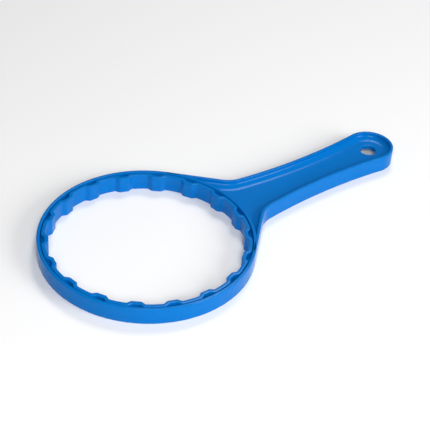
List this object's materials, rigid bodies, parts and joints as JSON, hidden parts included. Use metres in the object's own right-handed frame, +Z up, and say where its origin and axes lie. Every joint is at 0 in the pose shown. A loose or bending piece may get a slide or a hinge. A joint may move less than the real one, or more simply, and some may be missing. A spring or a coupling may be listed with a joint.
{
  "type": "filter housing wrench",
  "caption": "Flat plastic ring wrench that grips a water-filter housing with inward teeth and turns it by a hollow-sided handle with a hanging hole.",
  "frame": {"origin": "middle of the wrench's bounding box, on the face it lies on", "axes": "+X along the handle, away from the ring; +Z up out of the flat ring, along the housing's axis"},
  "size_m": [0.2634, 0.134, 0.0114],
  "materials": {
    "blue_plastic": "satin"
  },
  "bodies": {
    "root": {"ring_band": "blue_plastic", "toothed_wall": "blue_plastic", "ring_floor": "blue_plastic", "neck_wall_left": "blue_plastic", "neck_wall_right": "blue_plastic", "grip_wall_left": "blue_plastic", "grip_wall_right": "blue_plastic", "end_wall": "blue_plastic", "neck_floor": "blue_plastic", "grip_floor": "blue_plastic", "hanging_eye": "blue_plastic"}
  },
  "joints": []
}
